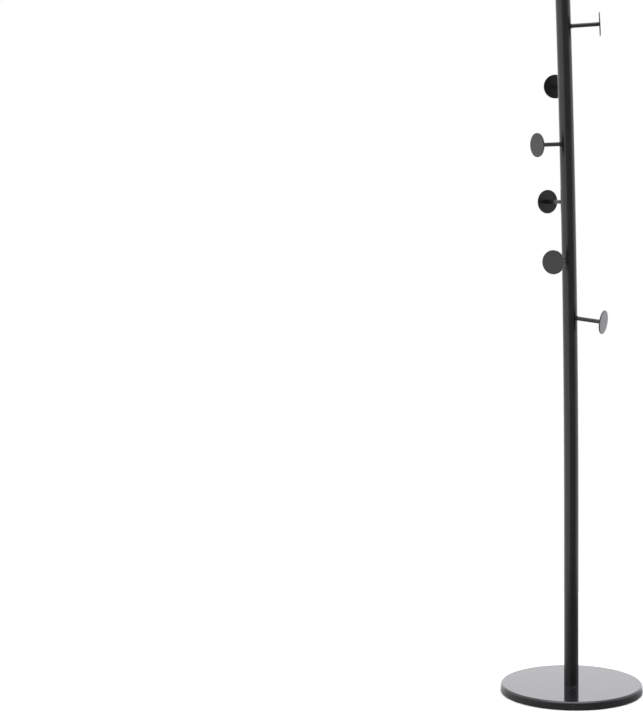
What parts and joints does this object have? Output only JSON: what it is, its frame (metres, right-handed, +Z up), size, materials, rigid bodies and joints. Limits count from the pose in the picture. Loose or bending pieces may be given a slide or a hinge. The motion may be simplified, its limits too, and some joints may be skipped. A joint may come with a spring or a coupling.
{
  "type": "standing coat rack",
  "caption": "Free-standing coat rack: round black marble foot, slim two-part steel pole and disc hooks that wind round its upper half.",
  "frame": {"origin": "on the floor under the centre of the marble foot", "axes": "+Z up along the lower tube; +X towards the side that the highest hook points to; -Y towards the viewer"},
  "size_m": [0.35, 0.35, 1.7503],
  "materials": {
    "black_marble": "polished, with thin pale veins",
    "black_steel": "fine satin powder coat",
    "zinc_steel": "bright zinc plate",
    "black_nylon": "moulded, matt",
    "felt": "pressed felt"
  },
  "bodies": {
    "root": {"marble_base": "black_marble", "base_pads": "felt", "foot_gasket": "black_nylon", "foot_bolt": "zinc_steel", "foot_plate_washer": "zinc_steel", "foot_spring_washer": "zinc_steel", "foot_plug": "zinc_steel", "lower_tube": "black_steel", "lower_joint_plug": "zinc_steel", "joint_stud": "zinc_steel", "upper_joint_plug": "zinc_steel", "upper_tube": "black_steel", "top_cap": "black_nylon", "hook_inserts": "zinc_steel", "hook_studs": "zinc_steel", "hook_saddle_washers": "black_nylon", "hook_1_rod": "black_steel", "hook_2_rod": "black_steel", "hook_3_rod": "black_steel", "hook_4_rod": "black_steel", "hook_5_rod": "black_steel", "hook_6_rod": "black_steel", "hook_1_disc": "black_steel", "hook_2_disc": "black_steel", "hook_3_disc": "black_steel", "hook_4_disc": "black_steel", "hook_5_disc": "black_steel", "hook_6_disc": "black_steel"}
  },
  "joints": []
}
